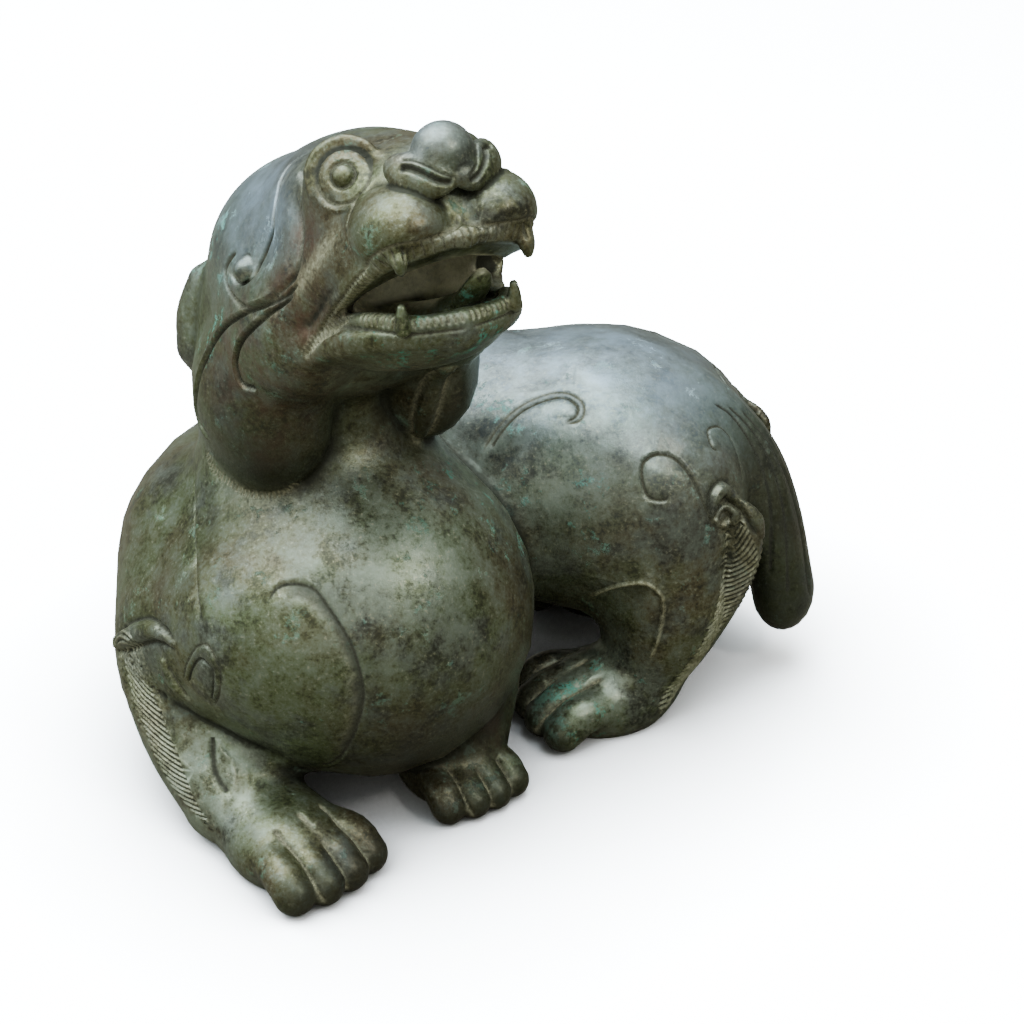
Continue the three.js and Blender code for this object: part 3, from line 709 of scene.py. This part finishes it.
def hollows(points, triangles):  # above 0 in grooves and folds, below 0 on edges
    normal = meshNormals(points, triangles)
    near = ((spread(points, triangles, 6) - points) * normal).sum(1)
    wide = ((spread(points, triangles, 30) - points) * normal).sum(1)
    return spread(np.clip(near / 0.5, -1, 1), triangles, 1), spread(np.clip(wide / 1.6, -1, 1), triangles, 2)


def newMesh(name, points, triangles, values):
    mesh = bpy.data.meshes.new(name)
    mesh.vertices.add(len(points))
    mesh.vertices.foreach_set("co", (points * mm).astype(np.float32).ravel())
    mesh.loops.add(triangles.size)
    mesh.loops.foreach_set("vertex_index", triangles.astype(np.int32).ravel())
    mesh.polygons.add(len(triangles))
    mesh.polygons.foreach_set("loop_start", np.arange(0, triangles.size, 3, dtype=np.int32))
    mesh.polygons.foreach_set("use_smooth", np.ones(len(triangles), bool))
    mesh.update(calc_edges=True)
    for key, value in values.items():
        layer = mesh.attributes.new(key, "FLOAT", "POINT")
        layer.data.foreach_set("value", value.astype(np.float32))
    return mesh


# Where the colour is darker, bluer, greener, redder or lighter: spots with their reach. The darker spots are painted
# shade under the jaw, neck, chest and tail, the bluer spots a painted sky reflection on top surfaces, and the lighter
# spots painted light on lit parts; the greener and redder spots are the patina's own colours.
zones = {
    "gloom": [(head, (-50, -62, -112), 44), (head, (-45, 58, -95), 46), (head, (0, 10, -76), 18),
              (chest, (60, 40, -50), 50), (chest, (84, -9, -44), 46), (rump, (-94, 8, -14), 42), (rump, (-95, 8, -60), 50),
              (rump, (-70, 6, 22), 30)],
    "sheen": [(head, (-30, -44, 24), 40), (head, (-30, 44, 24), 40), (head, (4, -44, 14), 22), (head, (96, 0, 40), 14),
              (rump, (10, 0, 80), 72), (rump, (70, -10, 70), 58)],
    "green": [(ground, (-2, -3, 165), 32), (rump, (64, 57, 52), 28), (rump, (29, 77, 35), 26), (rump, (15, 88, -92), 24),
              (head, (-46, -56, 8), 22), (head, (86, -29, -47), 20), (head, (92, 12, -46), 20), (head, (-58, -68, -46), 20),
              (chest, (20, 40, 70), 30)],
    "pale": [(rump, (16, 84, -92), 30), (head, (10, -14, -84), 26), (chest, (58, -18, 62), 44),
             (rump, (50, 62, 30), 34), (chest, (4, -96, -84), 36)],
    "rust": [(head, (-20, -56, -56), 44), (head, (26, -52, -30), 26), (chest, (48, 54, -60), 28), (chest, (66, 40, -10), 18), (head, (-40, -62, -96), 26), (head, (40, -46, 4), 16)]}


def zoneShare(points, spots):
    share = np.zeros(len(points))
    for s, centre, size in spots:
        share = np.maximum(share, np.exp(-(((points - s.out(centre)) / size) ** 2).sum(1)))
    return share


def toeShare(points):
    share = np.zeros(len(points))
    for own, size in paws:
        at = own.into(points)
        share = np.maximum(share, between(at[:, 0], 24 * size, 34 * size) * (np.abs(at[:, 1]) < 36 * size)
                           * (at[:, 0] < 50 * size) * (at[:, 2] < 30 * size))
    return share


def insideShare(points):  # the mouth's hollow, behind the teeth, where lighter colour is painted in for light
    at = head.into(points)
    room = 1 - np.sqrt((((at - (56, 0, -24)) / (48, 37.5, 24)) ** 2).sum(1))
    tongue = between(at[:, 0], 62, 68) * between(-at[:, 2], 20, 24)
    return between(room, 0, 0.08) * between(at[:, 2], -38, -32) * (1 - tongue)


cavity, fold = hollows(skinPoints, skinTriangles)
skinNormals = meshNormals(skinPoints, skinTriangles)
shares = {name: zoneShare(skinPoints, spots) for name, spots in zones.items()}
# the toe tips are darkened as their own tone, on top of the painted shade
shares["gloom"] = np.maximum(shares["gloom"], toeShare(skinPoints) * 0.9)
shares["inside"] = insideShare(skinPoints)
shares["line"] = between(-relief, 0.15, 1.2)
fullMesh = newMesh("castSkinFull", skinPoints, skinTriangles,
                   {"cavity": cavity, "fold": fold, "dust": grooveDustAndRidgeHighlight, **shares})
fullSkin = bpy.data.objects.new("castSkinFull", fullMesh)
bpy.context.scene.collection.objects.link(fullSkin)
plain = fullSkin.vertex_groups.new(name="plain")
detail = np.clip(np.abs(cavity) * 1.5 + grooveDustAndRidgeHighlight + fine * 0.3 + (skinPoints[:, 2] > 250) * 0.3, 0, 1)
for level in range(8):
    rows = np.flatnonzero((detail * 7.99).astype(int) == level)
    plain.add(rows.tolist(), 1 - level / 7, "REPLACE")
thin = fullSkin.modifiers.new("thin", "DECIMATE")
thin.vertex_group, thin.vertex_group_factor = "plain", 0.6
thin.ratio = min(1.0, skin["triangles"] / len(skinTriangles))
thinned = bpy.data.meshes.new_from_object(fullSkin.evaluated_get(bpy.context.evaluated_depsgraph_get()))
bpy.data.objects.remove(fullSkin)
thinned.name = "bronzeBeast"
beast = bpy.data.objects.new("bronzeBeast", thinned)
bpy.context.scene.collection.objects.link(beast)
print("stage: skin thinned,", len(thinned.polygons), "triangles")


def keepShading():  # each point of the thinned skin takes the full skin's direction there
    tree = KDTree(len(skinPoints))
    for i, p in enumerate(skinPoints * mm):
        tree.insert(p, i)
    tree.balance()
    rows = [tree.find(v.co)[1] for v in thinned.vertices]
    thinned.normals_split_custom_set_from_vertices(skinNormals[rows])


keepShading()


# Shader maths written as expressions
class Wire:
    def __init__(self, tree, socket):
        self.tree, self.socket = tree, socket

    def maths(self, operation, *others, clamp=False):
        node = self.tree.nodes.new("ShaderNodeMath")
        node.operation, node.use_clamp = operation, clamp
        for i, value in enumerate(others):
            if isinstance(value, Wire):
                self.tree.links.new(value.socket, node.inputs[i])
            else:
                node.inputs[i].default_value = value
        return Wire(self.tree, node.outputs[0])

    def __add__(self, other): return self.maths("ADD", self, other)
    def __radd__(self, other): return self.maths("ADD", other, self)
    def __sub__(self, other): return self.maths("SUBTRACT", self, other)
    def __rsub__(self, other): return self.maths("SUBTRACT", other, self)
    def __mul__(self, other): return self.maths("MULTIPLY", self, other)
    def __rmul__(self, other): return self.maths("MULTIPLY", other, self)
    def __truediv__(self, other): return self.maths("DIVIDE", self, other)
    def clamped(self): return self.maths("ADD", self, 0.0, clamp=True)
    def above(self, low, high): return ((self - low) / (high - low)).clamped()


class Finish:
    def __init__(self, owner):  # a material or a world
        self.owner = owner
        owner.use_nodes = True
        self.tree = owner.node_tree
        self.tree.nodes.clear()

    def node(self, kind, settings=None, out=0, **sockets):
        made = self.tree.nodes.new(kind)
        for key, value in (settings or {}).items():
            if key == "stops":
                while len(made.color_ramp.elements) < len(value):
                    made.color_ramp.elements.new(0.5)
                for element, (position, colour) in zip(made.color_ramp.elements, value):
                    element.position, element.color = position, (*colour, 1)
            else:
                setattr(made, key, value)
        for key, value in sockets.items():
            socket = made.inputs[int(key[1:])] if key[1:].isdigit() else made.inputs[key.replace("_", " ")]
            if isinstance(value, Wire):
                self.tree.links.new(value.socket, socket)
            else:
                socket.default_value = value
        return Wire(self.tree, made.outputs[out]) if made.outputs else None

    def noise(self, place, scale, detail=4.0, roughness=0.6, distortion=0.0):
        return self.node("ShaderNodeTexNoise", Vector=place, Scale=scale, Detail=detail, Roughness=roughness,
                         Distortion=distortion)

    def mix(self, share, first, second):
        return self.node("ShaderNodeMix", {"data_type": "RGBA"}, 2, i0=share, i6=first, i7=second)

    def attribute(self, name):
        return self.node("ShaderNodeAttribute", {"attribute_name": name}, 2)


# the light khaki for the mouth's hollow is painted light, the light blue a painted sky reflection, the pale green-grey
# painted light on lit parts; dark also serves for painted shade
patina = {"olive": (0.102, 0.124, 0.052, 1), "brown": (0.108, 0.090, 0.042, 1), "dark": (0.020, 0.022, 0.013, 1),
          "grey": (0.215, 0.255, 0.205, 1), "verdigris": (0.075, 0.28, 0.20, 1), "dust": (0.40, 0.39, 0.24, 1),
          "paintedReflectionBlue": (0.32, 0.43, 0.51, 1), "rust": (0.120, 0.064, 0.040, 1), "inside": (0.66, 0.65, 0.46, 1),
          "slate": (0.078, 0.082, 0.070, 1), "pale": (0.30, 0.35, 0.24, 1)}


def makePatina():
    f = Finish(bpy.data.materials.new("bronzePatina"))
    place = f.node("ShaderNodeTexCoord", out=3)
    cavity, dust, line, gloom, sheen, green, rust, pale, inside = (
        f.attribute(name) for name in ("cavity", "dust", "line", "gloom", "sheen", "green", "rust", "pale", "inside"))
    broad = f.noise(place, 13.0, 5.0, 0.62)
    mottle = f.noise(place, 60.0, 9.0, 0.72)
    fine = f.noise(place, 420.0, 4.0, 0.7)
    other = f.noise(f.node("ShaderNodeMapping", Vector=place, Location=(3.1, 1.7, 0.4)), 46.0, 10.0, 0.78)
    drift = f.noise(f.node("ShaderNodeMapping", Vector=place, Location=(1.3, 4.1, 2.6)), 24.0, 7.0, 0.68)
    grain = mottle * 0.6 + fine * 0.4
    colour = f.mix(broad.above(0.40, 0.60), patina["brown"], patina["olive"])
    colour = f.mix(drift.above(0.50, 0.60) * 0.75, colour, patina["slate"])
    # grey patches at random; in the painted-light spots on the lit hind leg, neck, ball and forearm the colour is
    # painted greyer and paler
    colour = f.mix((grain.above(0.47, 0.60) * 0.5 + pale * 0.6 * mottle.above(0.3, 0.6)).clamped(), colour, patina["grey"])
    colour = f.mix((pale * mottle.above(0.42, 0.62) * 0.6).clamped(), colour, patina["pale"])
    colour = f.mix((grain.above(0.48, 0.40) * 0.7 + broad.above(0.46, 0.32) * 0.2).clamped(), colour, patina["dark"])
    specks = (other + green * 0.05).above(0.585, 0.625) * fine.above(0.36, 0.50)
    colour = f.mix(specks * (0.30 + green * 0.9).clamped(), colour, patina["verdigris"])
    # pale specks, more of them in the painted-light spots
    colour = f.mix((fine.above(0.60, 0.68) * (0.35 + pale * 0.3)).clamped(), colour, patina["dust"])
    # painted sky reflection: bluer colour on the tops of the skull, brow, nose and rump
    colour = f.mix((sheen * (drift.above(0.62, 0.40) * 0.75 + 0.25) * (0.35 + mottle)).clamped(), colour, patina["paintedReflectionBlue"])
    colour = f.mix(rust * other.above(0.56, 0.40) * 0.8, colour, patina["rust"])
    # painted light in the mouth's hollow: lighter colour, and less darkening in its folds, where little light reaches
    colour = f.mix(inside * (mottle.above(0.36, 0.58) * 0.45 + 0.45), colour, patina["inside"])
    # painted shade under the jaw, neck, chest and tail, and the toe tips' own dark tone
    colour = f.mix((gloom * (0.5 + 0.6 * mottle)).clamped(), colour, patina["dark"])
    colour = f.mix((cavity.above(0.06, 0.45) * (0.9 - inside * 0.75)).clamped(), colour, patina["dark"])
    colour = f.mix(line * 0.85, colour, patina["dark"])
    # dust in grooves and teeth, and painted highlight on ridges and strands
    dustAndRidgeHighlightShare = (dust * fine.above(0.25, 0.6) * mottle.above(0.2, 0.5) * 0.85).clamped()
    colour = f.mix(dustAndRidgeHighlightShare, colour, patina["dust"])
    rough = 0.26 + mottle * 0.22 + specks * 0.3 + dustAndRidgeHighlightShare * 0.35 + inside * 0.2 + cavity.above(0.1, 0.6) * 0.3 + line * 0.3
    bump = f.node("ShaderNodeBump", Strength=0.5, Distance=0.0006,
                  Height=broad * 1.4 + mottle * 0.9 + fine * 0.5 + specks * 0.3)
    metal = (0.7 - inside * 0.7 - dustAndRidgeHighlightShare * 0.5 - specks * 0.5 - gloom * 0.1 - line * 0.4).clamped()
    f.node("ShaderNodeOutputMaterial", Surface=f.node(
        "ShaderNodeBsdfPrincipled", Base_Color=colour, Roughness=rough.clamped(), Metallic=metal, Normal=bump))
    return f.owner


thinned.materials.clear()
thinned.materials.append(makePatina())
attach(beast, "root")
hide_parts("beast_figure")
print("stage: patina laid")


# Pale floor, soft lights and the camera
def addFloor():
    mesh = bpy.data.meshes.new("paleFloor")
    h = 6.0
    mesh.from_pydata([(-h, -h, 0), (h, -h, 0), (h, h, 0), (-h, h, 0)], [], [(0, 1, 2, 3)])
    floor = bpy.data.objects.new("paleFloor", mesh)
    bpy.context.scene.collection.objects.link(floor)
    f = Finish(bpy.data.materials.new("paleFloor"))
    seen = f.node("ShaderNodeLightPath")  # the floor throws back less light than it shows
    openness = f.node("ShaderNodeAmbientOcclusion", {"samples": 12}, 1, Distance=0.17)
    share = openness * openness * 6.7 + 0.3  # painted contact shadow: the floor's colour darkens with occlusion close under the beast
    shown = f.node("ShaderNodeCombineColor", i0=share, i1=share, i2=share)
    bright = f.node("ShaderNodeBsdfDiffuse", Color=shown)
    dim = f.node("ShaderNodeBsdfDiffuse", Color=(0.16, 0.15, 0.12, 1))
    f.node("ShaderNodeOutputMaterial", Surface=f.node("ShaderNodeMixShader", i0=seen, i1=dim, i2=bright))
    mesh.materials.append(f.owner)


def addLight(name, at, size, power, colour=(1, 1, 1), target=(0, 0, 0.15)):
    data = bpy.data.lights.new(name, "AREA")
    data.shape, data.size, data.energy, data.color = "DISK", size, power, colour
    light = bpy.data.objects.new(name, data)
    light.location = at
    light.rotation_euler = (Vector(target) - Vector(at)).to_track_quat("-Z", "Y").to_euler()
    bpy.context.scene.collection.objects.link(light)


def addCamera():
    view = {"elevation": 30.0, "distance": 1.27, "lens": 84.375, "target": (0.02087, -0.02284, 0.15)}
    up = math.radians(view["elevation"])
    back = Vector((0, -math.cos(up), math.sin(up)))
    data = bpy.data.cameras.new("camera")
    data.lens, data.sensor_width = view["lens"], 36.0
    camera = bpy.data.objects.new("camera", data)
    camera.location = Vector(view["target"]) + back * view["distance"]
    camera.rotation_euler = (-back).to_track_quat("-Z", "Y").to_euler()
    bpy.context.scene.collection.objects.link(camera)
    bpy.context.scene.camera = camera


addFloor()
addLight("topSoftbox", (-0.5, 0.1, 2.1), 2.8, 125, (0.86, 0.94, 1.0))
addLight("frontFill", (-0.6, -2.6, 1.0), 2.6, 11, (1.0, 0.96, 0.88))
addLight("smallKey", (1.05, -0.98, 1.52), 0.32, 9, (1.0, 0.98, 0.95))
addLight("leftFill", (-2.4, -0.4, 1.1), 2.2, 26, (0.80, 0.92, 1.0))


def addSky():  # an even dome of light, brighter and bluer overhead; plain white where the camera sees it
    w = Finish(bpy.data.worlds.new("studio"))
    facing = w.node("ShaderNodeTexCoord")
    height = w.node("ShaderNodeSeparateXYZ", out=2, Vector=facing)
    share = height.above(-0.1, 0.9)
    colour = w.mix(share, (1.0, 0.93, 0.78, 1), (0.82, 0.93, 1.0, 1))
    dome = w.node("ShaderNodeBackground", Color=colour, Strength=0.18 + share * share * 1.2)
    white = w.node("ShaderNodeBackground", Color=(1, 1, 1, 1), Strength=14.0)
    w.node("ShaderNodeOutputWorld", Surface=w.node("ShaderNodeMixShader", i0=w.node("ShaderNodeLightPath"),
                                                   i1=dome, i2=white))
    bpy.context.scene.world = w.owner


addSky()
addCamera()
print("stage: studio set")
